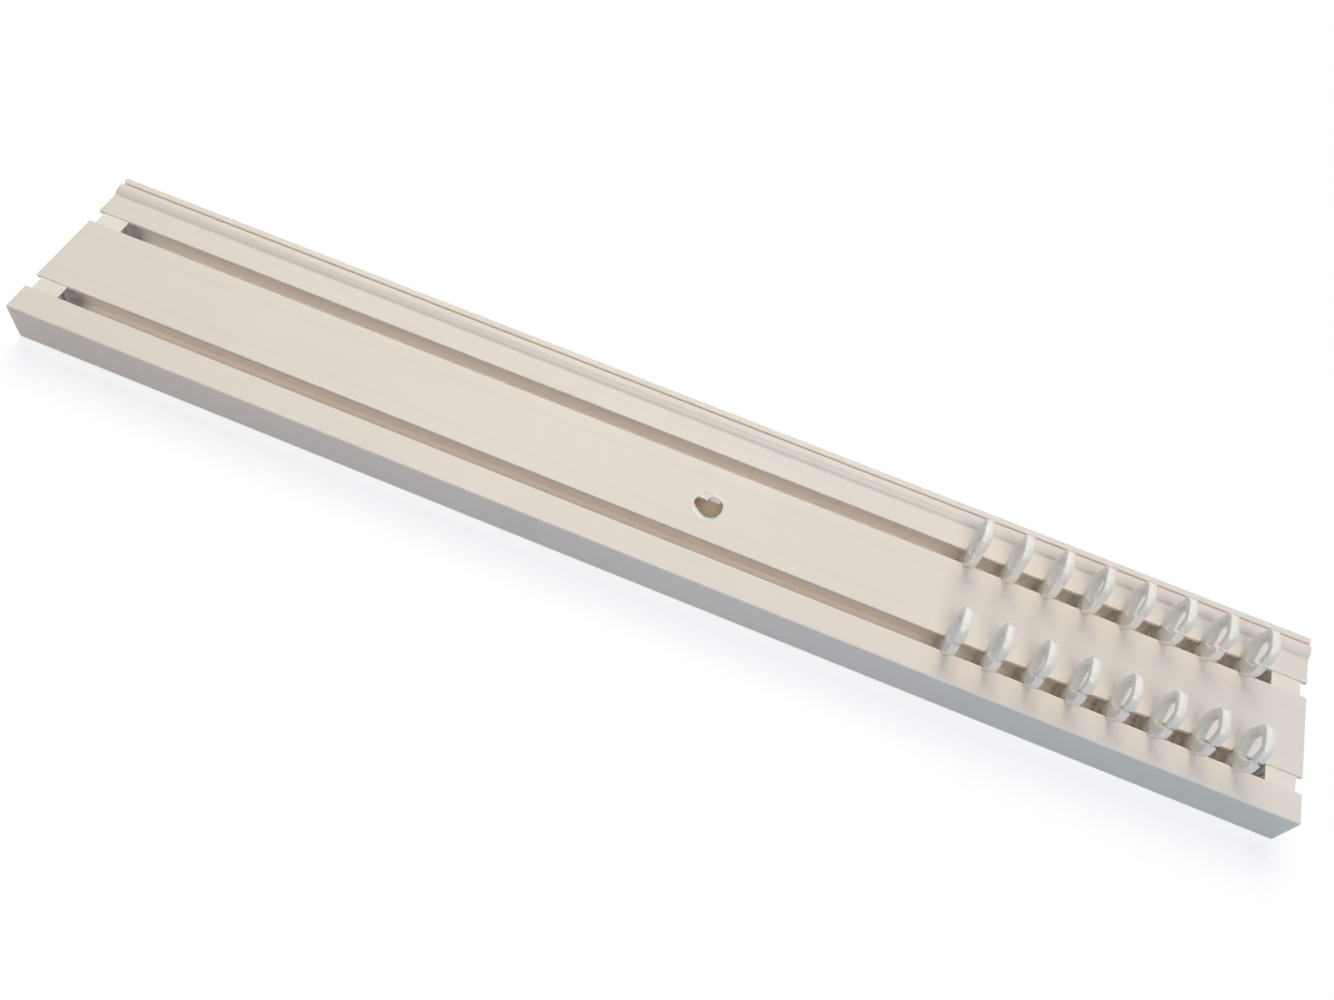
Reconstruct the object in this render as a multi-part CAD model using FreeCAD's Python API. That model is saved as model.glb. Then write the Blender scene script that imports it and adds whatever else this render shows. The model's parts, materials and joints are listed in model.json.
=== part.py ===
import FreeCAD, Part
import math
import os

# Ceiling curtain track with two slotted channels, sliding hooks and end stops. Sizes are in millimetres.
# The track lies on its mounting back: +X runs along it, +Y towards the beaded edge and +Z up out of the
# slotted face. The origin is the middle of the mounting back.

# Rail: one hollow extrusion
RAIL_LENGTH = 456.0
RAIL_WIDTH = 70.0
RAIL_HEIGHT = 16.0              # mounting back to slotted face
FACE_WALL = 1.4
BACK_WALL = 1.5
SIDE_WALL = 1.5
WEB_WALL = 1.2                  # the upright walls between channels and chambers
EDGE_ROUND = 0.6

# Slots in the face and the channels under them
SLOT_WIDTH = 5.7
FRONT_SLOT_FROM_EDGE = 13.5     # plain edge to the middle of the slot
REAR_SLOT_FROM_EDGE = 20.8      # beaded edge to the middle of the slot
LIP_REACH = 5.4                 # channel web to slot edge
LIP_ROUND = 0.35

# Beaded edge: a rounded bead, a narrow groove for a fascia strip and an outer lip
BEAD_WIDTH = 4.6
BEAD_RISE = 1.7                 # face to the top of the bead
BEAD_SLOPE = 56.0               # degrees, at the foot of the bead
BEAD_ROUND = 3.6
GROOVE_WIDTH = 1.2
GROOVE_DEPTH = 2.0
GROOVE_EDGE_ROUND = 0.3
OUTER_LIP_WIDTH = 2.6
OUTER_LIP_RISE = 1.2            # face to the top of the lip
OUTER_LIP_ROUND = 1.0

# Screw fixing: an access hole in the face over a screw hole in the back. The drill tore the face and left
# a flap of it over the access hole. The flap's places are measured from the middle of the hole.
FIXING_FROM_RIGHT_END = 209.2
FIXING_FROM_EDGE = 29.5         # plain edge to the middle of the holes
ACCESS_HOLE_RADIUS = 4.9
SCREW_HOLE_RADIUS = 2.0
FLAP_EDGE = 2.4                 # across the rail, to the flap's free edge
FLAP_TIP = -1.1                 # along the rail, to the flap's loose corner
FLAP_ROOT = 0.2                 # along the rail, to where its torn side meets the rim
FLAP_TIP_ROUND = 0.6
FLAP_THICKNESS = 0.9

# Hooks: flat mouldings with a forked head in the channel, a neck in the slot and an open loop above it
HOOKS_PER_CHANNEL = 8
HOOK_PITCH = 14.0
HOOK_THICKNESS = 3.0
RUN_CLEARANCE = 0.3             # head to lip, and loop to face
NECK_CLEARANCE = 0.5            # neck to slot edge, on each side
HEAD_OVERLAP = 3.8              # how far the head reaches under each lip
HEAD_HEIGHT = 8.0
HEAD_BRIDGE = 2.6               # solid part of the head above the fork
PRONG_GAP = 5.0
PRONG_ROUND = 1.6               # outer corner of each prong

# Loop of a hook, with heights measured up from its flat foot
LOOP_FOOT_WIDTH = 8.4
LOOP_WIDTH = 15.2
LOOP_WIDEST = 7.0               # height of the widest place
LOOP_SIDE_ROUND = 6.0
LOOP_TOP_WIDTH = 10.4
LOOP_TOP_ROUND = 4.4
LOOP_HEIGHT = 19.0
LOOP_BAND = 2.7                 # material at the sides and top of the eye
EYE_POINT = 3.0                 # height of the eye's lower point
EYE_POINT_ROUND = 1.0
EYE_WIDEST = 8.5                # height of the eye's widest place
MOUTH_WIDTH = 1.0
MOUTH_MIDDLE = 11.0             # height of the mouth that lets a curtain tape into the loop
MOUTH_SLANT = 35.0              # degrees

# End stops, pressed into the ends of the channels
STOP_LENGTH = 10.0
STOP_INSET = 2.0                # rail end to stop
STOP_OVERLAP = 3.4              # how far the stop reaches under each lip
STOP_DEPTH = 4.0                # below the lips
STOP_KERF = 0.9                 # saw cut that lets the stop's legs spring
STOP_KERF_DEPTH = 4.2
STOP_TO_HOOK = 10.0             # inner end of the stop to the middle of the nearest hook

SAME_POINT = 1e-6               # points closer than this are one point

HALF_LENGTH = RAIL_LENGTH / 2
FRONT_EDGE = -RAIL_WIDTH / 2
BACK_EDGE = RAIL_WIDTH / 2
LIP_UNDERSIDE = RAIL_HEIGHT - FACE_WALL
STOP_INNER_END = HALF_LENGTH - STOP_INSET - STOP_LENGTH
SLOT_MIDDLES = {"front": FRONT_EDGE + FRONT_SLOT_FROM_EDGE, "rear": BACK_EDGE - REAR_SLOT_FROM_EDGE}


def across(y, z):
    """A point of a section across the rail, at X = 0."""
    return FreeCAD.Vector(0, y, z)


def on_plan(x, y):
    """A point of an outline seen from above, at Z = 0."""
    return FreeCAD.Vector(x, y, 0)


def rounded_wire(corners, place):
    """Closed wire through corners (a, b, radius), each rounded by an arc tangent to both its sides."""
    turns = []
    for index, (a, b, radius) in enumerate(corners):
        corner = place(a, b)
        back = place(*corners[index - 1][:2]) - corner
        ahead = place(*corners[(index + 1) % len(corners)][:2]) - corner
        back.normalize()
        ahead.normalize()
        half_angle = back.getAngle(ahead) / 2
        inward = back + ahead
        if radius > 0:
            inward.normalize()
        setback = radius / math.tan(half_angle)
        crown = corner + inward * (radius / math.sin(half_angle) - radius)
        turns.append((corner + back * setback, crown, corner + ahead * setback, radius))

    edges = []
    for index, (start, crown, end, radius) in enumerate(turns):
        if radius > 0:
            edges.append(Part.Arc(start, crown, end).toShape())
        next_start = turns[(index + 1) % len(turns)][0]
        if next_start.distanceToPoint(end) > SAME_POINT:
            edges.append(Part.LineSegment(end, next_start).toShape())
    return Part.Wire(edges)


def prism(wires, direction):
    """Solid swept along a direction from an outer wire and any inner ones."""
    return Part.makeFace(wires, "Part::FaceMakerBullseye").extrude(direction)


def mirrored(half):
    """Corners of a whole outline from those of its half on the +Y side, in order."""
    return half + [(-y, z, radius) for y, z, radius in reversed(half)]


def channel_walls(name):
    """The two Y places of a channel's side walls. The front channel reaches to the rail's plain edge."""
    reach = SLOT_WIDTH / 2 + LIP_REACH
    far_wall = SLOT_MIDDLES[name] + reach
    if name == "front":
        return FRONT_EDGE + SIDE_WALL, far_wall
    return SLOT_MIDDLES[name] - reach, far_wall


def channel_corners(name):
    """Corners of a slot and its channel, met while going round the section from the beaded edge forward."""
    near_wall, far_wall = channel_walls(name)
    near_lip = SLOT_MIDDLES[name] - SLOT_WIDTH / 2
    far_lip = SLOT_MIDDLES[name] + SLOT_WIDTH / 2
    return [
        (far_lip, RAIL_HEIGHT, LIP_ROUND),
        (far_lip, LIP_UNDERSIDE, 0),
        (far_wall, LIP_UNDERSIDE, 0),
        (far_wall, BACK_WALL, 0),
        (near_wall, BACK_WALL, 0),
        (near_wall, LIP_UNDERSIDE, 0),
        (near_lip, LIP_UNDERSIDE, 0),
        (near_lip, RAIL_HEIGHT, LIP_ROUND),
    ]


def bead_corners():
    """Corners of the outer lip, the groove and the bead, from the beaded edge forward."""
    groove_far = BACK_EDGE - OUTER_LIP_WIDTH
    groove_near = groove_far - GROOVE_WIDTH
    bead_foot = groove_near - BEAD_WIDTH
    bead_top = RAIL_HEIGHT + BEAD_RISE
    groove_bottom = bead_top - GROOVE_DEPTH
    lip_top = RAIL_HEIGHT + OUTER_LIP_RISE
    slope_run = BEAD_RISE / math.tan(math.radians(BEAD_SLOPE))
    return [
        (BACK_EDGE, lip_top, OUTER_LIP_ROUND),
        (groove_far, lip_top, GROOVE_EDGE_ROUND),
        (groove_far, groove_bottom, 0),
        (groove_near, groove_bottom, 0),
        (groove_near, bead_top, GROOVE_EDGE_ROUND),
        (bead_foot + slope_run, bead_top, BEAD_ROUND),
        (bead_foot, RAIL_HEIGHT, 0),
    ]


def chamber_wire(near, far):
    """Closed chamber between two Y places, from the back wall to the face wall."""
    corners = [(near, BACK_WALL, 0), (far, BACK_WALL, 0), (far, LIP_UNDERSIDE, 0), (near, LIP_UNDERSIDE, 0)]
    return rounded_wire(corners, across)


def make_flap(middle_x, middle_y):
    """Torn flap of the face over the access hole, between its free edge, its torn side and the rim."""
    left = middle_x - ACCESS_HOLE_RADIUS
    rim = middle_y + ACCESS_HOLE_RADIUS
    corners = [
        (left, middle_y + FLAP_EDGE, 0),
        (middle_x + FLAP_TIP, middle_y + FLAP_EDGE, FLAP_TIP_ROUND),
        (middle_x + FLAP_ROOT, rim, 0),
        (left, rim, 0),
    ]
    flap = prism([rounded_wire(corners, on_plan)], FreeCAD.Vector(0, 0, FLAP_THICKNESS))
    flap.translate(FreeCAD.Vector(0, 0, RAIL_HEIGHT - FLAP_THICKNESS))
    return flap


def make_rail():
    """The extrusion, with its screw fixing drilled through."""
    outline = [(FRONT_EDGE, 0, EDGE_ROUND), (BACK_EDGE, 0, EDGE_ROUND)]
    outline += bead_corners() + channel_corners("rear") + channel_corners("front")
    outline.append((FRONT_EDGE, RAIL_HEIGHT, EDGE_ROUND))
    middle_chamber = chamber_wire(channel_walls("front")[1] + WEB_WALL, channel_walls("rear")[0] - WEB_WALL)
    edge_chamber = chamber_wire(channel_walls("rear")[1] + WEB_WALL, BACK_EDGE - SIDE_WALL)
    section = [rounded_wire(outline, across), middle_chamber, edge_chamber]
    rail = prism(section, FreeCAD.Vector(RAIL_LENGTH, 0, 0))
    rail.translate(FreeCAD.Vector(-HALF_LENGTH, 0, 0))

    fixing_x = HALF_LENGTH - FIXING_FROM_RIGHT_END
    fixing_y = FRONT_EDGE + FIXING_FROM_EDGE
    middle_height = RAIL_HEIGHT / 2
    foot = FreeCAD.Vector(fixing_x, fixing_y, 0)
    rail = rail.cut(Part.makeCylinder(SCREW_HOLE_RADIUS, middle_height, foot))
    foot.z = middle_height
    access_hole = Part.makeCylinder(ACCESS_HOLE_RADIUS, middle_height, foot)
    return rail.cut(access_hole.cut(make_flap(fixing_x, fixing_y))).removeSplitter()


def make_hook():
    """One moulded hook, with its middle at X = 0 and Y = 0 and its height as it runs in a channel."""
    head_top = LIP_UNDERSIDE - RUN_CLEARANCE
    head_bottom = head_top - HEAD_HEIGHT
    fork_top = head_top - HEAD_BRIDGE
    loop_foot = RAIL_HEIGHT + RUN_CLEARANCE
    neck_half = SLOT_WIDTH / 2 - NECK_CLEARANCE
    head_half = SLOT_WIDTH / 2 + HEAD_OVERLAP
    body = mirrored([
        (PRONG_GAP / 2, fork_top, 0),
        (PRONG_GAP / 2, head_bottom, 0),
        (head_half, head_bottom, PRONG_ROUND),
        (head_half, head_top, 0),
        (neck_half, head_top, 0),
        (neck_half, loop_foot, 0),
        (LOOP_FOOT_WIDTH / 2, loop_foot, 0),
        (LOOP_WIDTH / 2, loop_foot + LOOP_WIDEST, LOOP_SIDE_ROUND),
        (LOOP_TOP_WIDTH / 2, loop_foot + LOOP_HEIGHT, LOOP_TOP_ROUND),
    ])
    eye_side = (LOOP_WIDTH / 2 - LOOP_BAND, loop_foot + EYE_WIDEST, LOOP_SIDE_ROUND - LOOP_BAND)
    eye_height = loop_foot + LOOP_HEIGHT - LOOP_BAND
    eye_top = (LOOP_TOP_WIDTH / 2 - LOOP_BAND, eye_height, LOOP_TOP_ROUND - LOOP_BAND)
    eye = [(0, loop_foot + EYE_POINT, EYE_POINT_ROUND)] + mirrored([eye_side, eye_top])
    thickness = FreeCAD.Vector(HOOK_THICKNESS, 0, 0)
    hook = prism([rounded_wire(body, across), rounded_wire(eye, across)], thickness)

    mouth_length = LOOP_WIDTH / 2
    mouth = Part.makeBox(HOOK_THICKNESS, mouth_length, MOUTH_WIDTH)
    mouth.translate(across(-mouth_length / 2, -MOUTH_WIDTH / 2))
    mouth.rotate(across(0, 0), FreeCAD.Vector(1, 0, 0), -MOUTH_SLANT)
    mouth.translate(across(-LOOP_WIDTH / 2 + LOOP_BAND, loop_foot + MOUTH_MIDDLE))
    hook = hook.cut(mouth)
    hook.translate(-thickness / 2)
    return hook


def make_stop():
    """One end stop, with its middle at X = 0 and Y = 0 and its height as it sits in a channel."""
    bottom = LIP_UNDERSIDE - STOP_DEPTH
    slot_half = SLOT_WIDTH / 2
    head_half = slot_half + STOP_OVERLAP
    outline = mirrored([
        (STOP_KERF / 2, bottom + STOP_KERF_DEPTH, 0),
        (STOP_KERF / 2, bottom, 0),
        (head_half, bottom, 0),
        (head_half, LIP_UNDERSIDE, 0),
        (slot_half, LIP_UNDERSIDE, 0),
        (slot_half, RAIL_HEIGHT - LIP_ROUND, 0),
    ])
    stop = prism([rounded_wire(outline, across)], FreeCAD.Vector(STOP_LENGTH, 0, 0))
    stop.translate(FreeCAD.Vector(-STOP_LENGTH / 2, 0, 0))
    return stop


def placed(shape, x, y):
    """A copy of a piece, moved along and across the rail."""
    copy = shape.copy()
    copy.translate(FreeCAD.Vector(x, y, 0))
    return copy


def make_pieces():
    """Every piece of the track in its place, by node name. Hook 1 is nearest the right end."""
    pieces = {"rail": make_rail()}
    hook = make_hook()
    stop = make_stop()
    stop_middle = STOP_INNER_END + STOP_LENGTH / 2
    for channel, slot_middle in SLOT_MIDDLES.items():
        pieces[f"stop_{channel}_left"] = placed(stop, -stop_middle, slot_middle)
        pieces[f"stop_{channel}_right"] = placed(stop, stop_middle, slot_middle)
        for index in range(HOOKS_PER_CHANNEL):
            hook_x = STOP_INNER_END - STOP_TO_HOOK - index * HOOK_PITCH
            pieces[f"hook_{channel}_{index + 1}"] = placed(hook, hook_x, slot_middle)
    return pieces


os.makedirs("parts", exist_ok=True)
for node, shape in make_pieces().items():
    shape.exportStep(f"parts/{node}.step")
    print(node, "solids", len(shape.Solids), "valid", shape.isValid(), "volume", round(shape.Volume, 1))
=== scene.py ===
# %% [markdown]
# A two-channel ceiling curtain track. The real one is a cream white plastic extrusion with two
# slots in its face. Moulded hooks slide in the slots, and small stops close the ends of the
# channels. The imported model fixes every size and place. This script gives each piece the edges, the
# marks of making and the surface of the real one.

# %% Load the frame
import json
import math

import bmesh
import bpy
from mathutils import Color, Matrix, Vector


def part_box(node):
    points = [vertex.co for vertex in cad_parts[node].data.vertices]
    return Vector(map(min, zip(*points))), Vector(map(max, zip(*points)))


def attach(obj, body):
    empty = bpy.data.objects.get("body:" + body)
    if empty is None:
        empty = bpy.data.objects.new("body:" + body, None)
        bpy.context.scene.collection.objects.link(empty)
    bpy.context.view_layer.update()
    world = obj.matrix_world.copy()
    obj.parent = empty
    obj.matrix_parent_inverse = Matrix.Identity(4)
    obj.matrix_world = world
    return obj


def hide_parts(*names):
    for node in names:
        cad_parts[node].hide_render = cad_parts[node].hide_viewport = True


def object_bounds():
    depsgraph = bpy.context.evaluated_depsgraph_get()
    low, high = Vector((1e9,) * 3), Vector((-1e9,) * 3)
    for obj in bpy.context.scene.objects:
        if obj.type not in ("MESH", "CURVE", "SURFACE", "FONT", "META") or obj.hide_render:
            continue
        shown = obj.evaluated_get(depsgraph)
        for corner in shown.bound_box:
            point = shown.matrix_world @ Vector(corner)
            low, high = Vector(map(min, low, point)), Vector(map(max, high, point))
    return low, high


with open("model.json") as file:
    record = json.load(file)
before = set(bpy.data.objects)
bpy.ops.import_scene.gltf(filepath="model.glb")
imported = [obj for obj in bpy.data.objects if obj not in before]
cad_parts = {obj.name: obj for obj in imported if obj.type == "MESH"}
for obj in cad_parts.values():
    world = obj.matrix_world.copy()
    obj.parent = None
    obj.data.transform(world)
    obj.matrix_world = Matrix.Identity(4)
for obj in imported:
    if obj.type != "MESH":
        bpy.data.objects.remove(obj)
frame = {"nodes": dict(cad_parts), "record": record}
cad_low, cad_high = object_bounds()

MM = 0.001
scene = bpy.context.scene


def in_mm(lengths):
    """Lengths in metres as rounded millimetres, for printing."""
    return [round(length / MM, 2) for length in lengths]


print("CAD box in mm:", in_mm(cad_high - cad_low))

# %% [markdown]
# The camera looks down on the track from the front. Its place, its three turns and its focal length
# came from fitting a pinhole camera to the long edges of the track, so the lens is written from a
# focal length in pixels. Blender's camera looks along its own -Z, so it is tilted up from straight
# down, turned about the upright axis, and rolled about its own view axis.

# %% Place the camera
PHOTO_WIDTH = 1334
FOCAL_LENGTH_IN_PIXELS = 1152.5
SENSOR_WIDTH = 36.0
CAMERA_PLACE = Vector((32.4, -223.5, 340.4)) * MM
CAMERA_TURN = math.radians(7.27)
CAMERA_TILT = math.radians(33.64)
CAMERA_ROLL = math.radians(15.56)
CLIP_START = 10 * MM

camera_data = bpy.data.cameras.new("camera")
camera_data.sensor_width = SENSOR_WIDTH
camera_data.lens = SENSOR_WIDTH * FOCAL_LENGTH_IN_PIXELS / PHOTO_WIDTH
camera_data.clip_start = CLIP_START
camera = bpy.data.objects.new("camera", camera_data)
turn = Matrix.Rotation(CAMERA_TURN, 4, "Z")
tilt = Matrix.Rotation(CAMERA_TILT, 4, "X")
roll = Matrix.Rotation(CAMERA_ROLL, 4, "Z")
camera.matrix_world = Matrix.Translation(CAMERA_PLACE) @ turn @ tilt @ roll
scene.collection.objects.link(camera)
scene.camera = camera
scene.view_settings.view_transform = "Standard"
print("Lens in mm:", round(camera_data.lens, 2))

# %% [markdown]
# White plastic shows its shape only through small differences of light. Two warm soft lamps stand
# above it, one behind and one in front, and the room adds a cool light from all sides. Together
# they are neutral on the face. The front side sees more of the room, so it turns a cool grey, and
# the slots see little of it, so they stay warm. Sun lamps are used because their light is equally
# strong all over, and a wide sun throws a soft shadow.

# %% Light the track
KEY_COLOUR = (1.0, 0.93, 0.74)
KEY_STRENGTH = 1.60
KEY_HEIGHT = math.radians(48)
KEY_BEARING = math.radians(12)
KEY_SOFTNESS = math.radians(45)
FILL_COLOUR = (1.0, 0.915, 0.81)
FILL_STRENGTH = 1.58
FILL_HEIGHT = math.radians(57)
FILL_BEARING = math.radians(180)
FILL_SOFTNESS = math.radians(30)


def hang_lamp(name, colour, strength, height, bearing, softness):
    """A wide sun lamp at a height above the horizon, on a bearing of 0 behind the track."""
    lamp_data = bpy.data.lights.new(name, "SUN")
    lamp_data.color = colour
    lamp_data.energy = strength
    lamp_data.angle = softness
    lamp = bpy.data.objects.new(name, lamp_data)
    lamp.rotation_euler = (height - math.pi / 2, 0, bearing)
    scene.collection.objects.link(lamp)
    print(name, "comes from", [round(part, 2) for part in lamp.rotation_euler.to_matrix().col[2]])


hang_lamp("key", KEY_COLOUR, KEY_STRENGTH, KEY_HEIGHT, KEY_BEARING, KEY_SOFTNESS)
hang_lamp("fill", FILL_COLOUR, FILL_STRENGTH, FILL_HEIGHT, FILL_BEARING, FILL_SOFTNESS)

# %% [markdown]
# The room, the floor and the plastics are all made of shader nodes. These helpers keep each later
# line to one thought: add a node, feed a socket, do a sum. The room itself is a cool light to
# everything that bounces, and plain white to the camera and to reflections.


# %% Helpers for shader nodes
def add_node(tree, kind, **settings):
    """A new node with its settings."""
    node = tree.nodes.new(kind)
    for name, value in settings.items():
        setattr(node, name, value)
    return node


def feed(tree, socket, value):
    """Give a socket a number, a colour or the output of another node."""
    if isinstance(value, bpy.types.NodeSocket):
        tree.links.new(value, socket)
    else:
        socket.default_value = value


def maths(tree, operation, first, second=0.0):
    """The result of one sum on two values."""
    node = add_node(tree, "ShaderNodeMath", operation=operation)
    feed(tree, node.inputs[0], first)
    feed(tree, node.inputs[1], second)
    return node.outputs[0]


def seen_directly(tree):
    """1 for what the camera, a gloss or a clear material sees, and 0 for light that bounces."""
    rays = add_node(tree, "ShaderNodeLightPath").outputs
    camera_or_gloss = maths(tree, "MAXIMUM", rays["Is Camera Ray"], rays["Is Glossy Ray"])
    return maths(tree, "MAXIMUM", camera_or_gloss, rays["Is Transmission Ray"])


# %% The room
WHITE = (1.0, 1.0, 1.0, 1.0)
ROOM_COLOUR = (0.36, 0.58, 1.0, 1.0)
ROOM_STRENGTH = 0.36

room = bpy.data.worlds.new("room")
room.use_nodes = True
room_tree = room.node_tree
room_tree.nodes.clear()
backdrop = add_node(room_tree, "ShaderNodeBackground")
backdrop.inputs["Color"].default_value = WHITE
ambient = add_node(room_tree, "ShaderNodeBackground")
ambient.inputs["Color"].default_value = ROOM_COLOUR
ambient.inputs["Strength"].default_value = ROOM_STRENGTH
room_choice = add_node(room_tree, "ShaderNodeMixShader")
feed(room_tree, room_choice.inputs["Fac"], seen_directly(room_tree))
feed(room_tree, room_choice.inputs[1], ambient.outputs["Background"])
feed(room_tree, room_choice.inputs[2], backdrop.outputs["Background"])
room_end = add_node(room_tree, "ShaderNodeOutputWorld")
feed(room_tree, room_end.inputs["Surface"], room_choice.outputs["Shader"])
scene.world = room
print("Room light strength:", ROOM_STRENGTH)

# %% [markdown]
# The track lies on a plain white floor. To the camera the floor glows a little and also catches
# light, so it ends up white and still keeps a soft shadow beside the track. To light that bounces
# it is a mid grey, as a table would be. A white one would throw too much light back at the front
# side.

# %% Lay the floor
FLOOR_SIZE = 8.0
FLOOR_GAP = 0.05 * MM
FLOOR_GLOW = 0.56
FLOOR_SEEN_COLOUR = (0.48, 0.48, 0.48, 1.0)
FLOOR_BOUNCE_COLOUR = (0.47, 0.52, 0.61, 1.0)

bpy.ops.object.select_all(action="DESELECT")
bpy.ops.mesh.primitive_plane_add(size=FLOOR_SIZE, location=(0, 0, cad_low.z - FLOOR_GAP))
floor = bpy.context.active_object
floor.name = "floor"
floor_material = bpy.data.materials.new("floor")
floor_material.use_nodes = True
floor_tree = floor_material.node_tree
floor_tree.nodes.clear()
glow = add_node(floor_tree, "ShaderNodeEmission")
glow.inputs["Strength"].default_value = FLOOR_GLOW
catch = add_node(floor_tree, "ShaderNodeBsdfDiffuse")
catch.inputs["Color"].default_value = FLOOR_SEEN_COLOUR
seen_floor = add_node(floor_tree, "ShaderNodeAddShader")
feed(floor_tree, seen_floor.inputs[0], glow.outputs["Emission"])
feed(floor_tree, seen_floor.inputs[1], catch.outputs["BSDF"])
bounce = add_node(floor_tree, "ShaderNodeBsdfDiffuse")
bounce.inputs["Color"].default_value = FLOOR_BOUNCE_COLOUR
floor_choice = add_node(floor_tree, "ShaderNodeMixShader")
feed(floor_tree, floor_choice.inputs["Fac"], seen_directly(floor_tree))
feed(floor_tree, floor_choice.inputs[1], bounce.outputs["BSDF"])
feed(floor_tree, floor_choice.inputs[2], seen_floor.outputs["Shader"])
floor_end = add_node(floor_tree, "ShaderNodeOutputMaterial")
feed(floor_tree, floor_end.inputs["Surface"], floor_choice.outputs["Shader"])
floor.data.materials.append(floor_material)
print("Floor at z in mm:", round(floor.location.z / MM, 3))

# %% [markdown]
# Every piece is shaped the same way: it is selected alone, opened in edit mode, and its vertices,
# edges or faces are picked by where they are. An operator acts on all that is selected, so each
# helper starts by deselecting everything.

# %% Helpers for modelling
SAME_PLACE = 0.01 * MM


def select_alone(piece):
    """Select one piece alone and make it active."""
    bpy.ops.object.select_all(action="DESELECT")
    piece.select_set(True)
    bpy.context.view_layer.objects.active = piece


def begin_editing(piece):
    """Enter edit mode on one piece."""
    select_alone(piece)
    bpy.ops.object.mode_set(mode="EDIT")


def end_editing():
    """Back to object mode."""
    bpy.ops.object.mode_set(mode="OBJECT")


def pick(piece, kind, wanted):
    """In edit mode, select only the vertices, edges or faces that wanted() accepts, and count them."""
    bpy.ops.mesh.select_mode(type=kind)
    bpy.ops.mesh.select_all(action="DESELECT")
    edited = bmesh.from_edit_mesh(piece.data)
    parts = {"VERT": edited.verts, "EDGE": edited.edges, "FACE": edited.faces}[kind]
    chosen = [part for part in parts if wanted(part)]
    for part in chosen:
        part.select_set(True)
    bmesh.update_edit_mesh(piece.data)
    return len(chosen)


# %% [markdown]
# The rail is pushed through a steel die, so it is one section all along. It is made here in the
# same way. A sheet as large as the section is cut into cells along every wall, the hollow cells are
# deleted, and what is left is drawn out to the full length. Drawing the outline point by point
# would work too, but the cells keep each wall next to its name.

# %% Name the walls of the section
FACE_HEIGHT = 16.0 * MM
FACE_WALL = 1.4 * MM
BACK_WALL = 1.5 * MM
SIDE_WALL = 1.5 * MM
WEB_WALL = 1.2 * MM
SLOT_WIDTH = 5.7 * MM
FRONT_SLOT = -21.5 * MM
REAR_SLOT = 14.2 * MM
LIP_REACH = 5.4 * MM
BEAD_WIDTH = 4.6 * MM
GROOVE_WIDTH = 1.2 * MM
GROOVE_DEPTH = 2.0 * MM
OUTER_LIP_WIDTH = 2.6 * MM
OUTER_LIP_RISE = 1.2 * MM

rail_low, rail_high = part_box("rail")
lip_underside = FACE_HEIGHT - FACE_WALL
web_reach = SLOT_WIDTH / 2 + LIP_REACH
groove_far = rail_high.y - OUTER_LIP_WIDTH
groove_near = groove_far - GROOVE_WIDTH
bead_foot = groove_near - BEAD_WIDTH
groove_bottom = rail_high.z - GROOVE_DEPTH
outer_lip_top = FACE_HEIGHT + OUTER_LIP_RISE

slots = [(middle - SLOT_WIDTH / 2, middle + SLOT_WIDTH / 2) for middle in (FRONT_SLOT, REAR_SLOT)]
front_channel = (rail_low.y + SIDE_WALL, FRONT_SLOT + web_reach)
rear_channel = (REAR_SLOT - web_reach, REAR_SLOT + web_reach)
middle_chamber = (front_channel[1] + WEB_WALL, rear_channel[0] - WEB_WALL)
edge_chamber = (rear_channel[1] + WEB_WALL, rail_high.y - SIDE_WALL)
hollows = [front_channel, middle_chamber, rear_channel, edge_chamber]
print("Hollows in mm:", [in_mm(hollow) for hollow in hollows])

# %% Cut the section's sheet into cells
bpy.ops.object.select_all(action="DESELECT")
section_middle = (rail_low.x, (rail_low.y + rail_high.y) / 2, (rail_low.z + rail_high.z) / 2)
upright_across = (math.pi / 2, 0, math.pi / 2)
bpy.ops.mesh.primitive_plane_add(size=1, location=section_middle, rotation=upright_across)
rail = bpy.context.active_object
rail.name = "track_rail"
rail.scale = (rail_high.y - rail_low.y, rail_high.z - rail_low.z, 1)
bpy.ops.object.transform_apply(location=True, rotation=True, scale=True)

cuts_across = [place for span in slots + hollows for place in span]
cuts_across += [bead_foot, groove_near, groove_far]
cuts_up = [BACK_WALL, lip_underside, FACE_HEIGHT]
edge_cuts_up = [groove_bottom, outer_lip_top]


def beside_groove(cell):
    """Whether a cell belongs to the bead, the groove or the outer lip."""
    return cell.calc_center_median().y > bead_foot


begin_editing(rail)
for place in cuts_across:
    bpy.ops.mesh.select_all(action="SELECT")
    bpy.ops.mesh.bisect(plane_co=(0, place, 0), plane_no=(0, 1, 0), threshold=SAME_PLACE)
for place in cuts_up:
    bpy.ops.mesh.select_all(action="SELECT")
    bpy.ops.mesh.bisect(plane_co=(0, 0, place), plane_no=(0, 0, 1), threshold=SAME_PLACE)
for place in edge_cuts_up:
    pick(rail, "FACE", beside_groove)
    bpy.ops.mesh.bisect(plane_co=(0, 0, place), plane_no=(0, 0, 1), threshold=SAME_PLACE)
end_editing()
print("Cells in the section:", len(rail.data.polygons))

# %% Delete the hollow cells
ALMOST_FLAT = math.radians(1)


def inside(value, span):
    """Whether a value lies between the two ends of a span."""
    return span[0] < value < span[1]


def is_hollow(cell):
    """Whether a cell of the section is open space."""
    y, z = cell.calc_center_median().yz
    if any(inside(y, hollow) for hollow in hollows) and inside(z, (BACK_WALL, lip_underside)):
        return True
    if any(inside(y, slot) for slot in slots) and z > lip_underside:
        return True
    if inside(y, (groove_near, groove_far)) and z > groove_bottom:
        return True
    return (y < bead_foot and z > FACE_HEIGHT) or (y > groove_far and z > outer_lip_top)


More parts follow.
